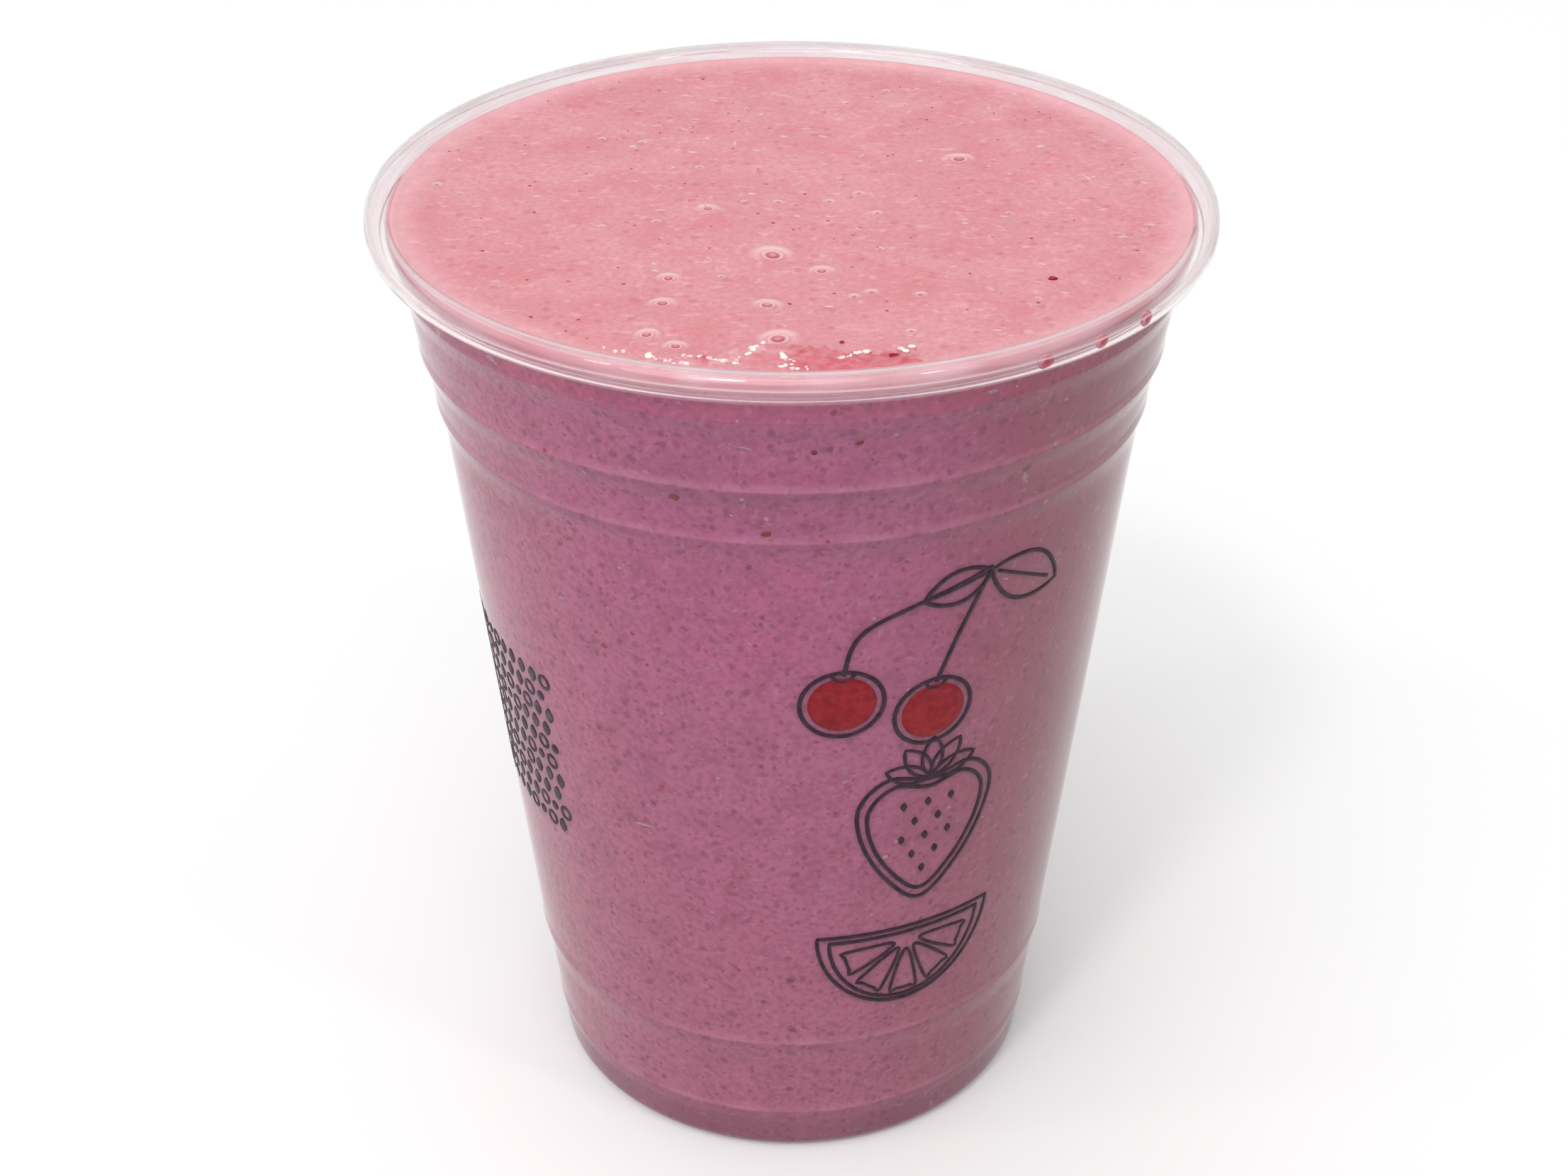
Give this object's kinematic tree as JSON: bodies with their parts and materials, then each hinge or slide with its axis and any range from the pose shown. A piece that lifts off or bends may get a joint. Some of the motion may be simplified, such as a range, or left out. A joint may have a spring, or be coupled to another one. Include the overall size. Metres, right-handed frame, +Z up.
{
  "type": "fruit smoothie in a plastic cup",
  "caption": "Thick pink fruit smoothie filling a clear tapered plastic cup with step rings and a rolled rim.",
  "frame": {"origin": "centre of the foot, on the surface that the cup stands on", "axes": "+Z up along the cup's axis; the cup is round, so +X and +Y are any two directions square to it, with the print of the dressed model towards -Y"},
  "size_m": [0.098, 0.098, 0.1203],
  "materials": {
    "clear_plastic": "clear, thin and glossy",
    "smoothie": "wet, opaque and slightly glossy, with fine bubbles"
  },
  "bodies": {
    "root": {"cup": "clear_plastic", "smoothie": "smoothie"}
  },
  "joints": []
}
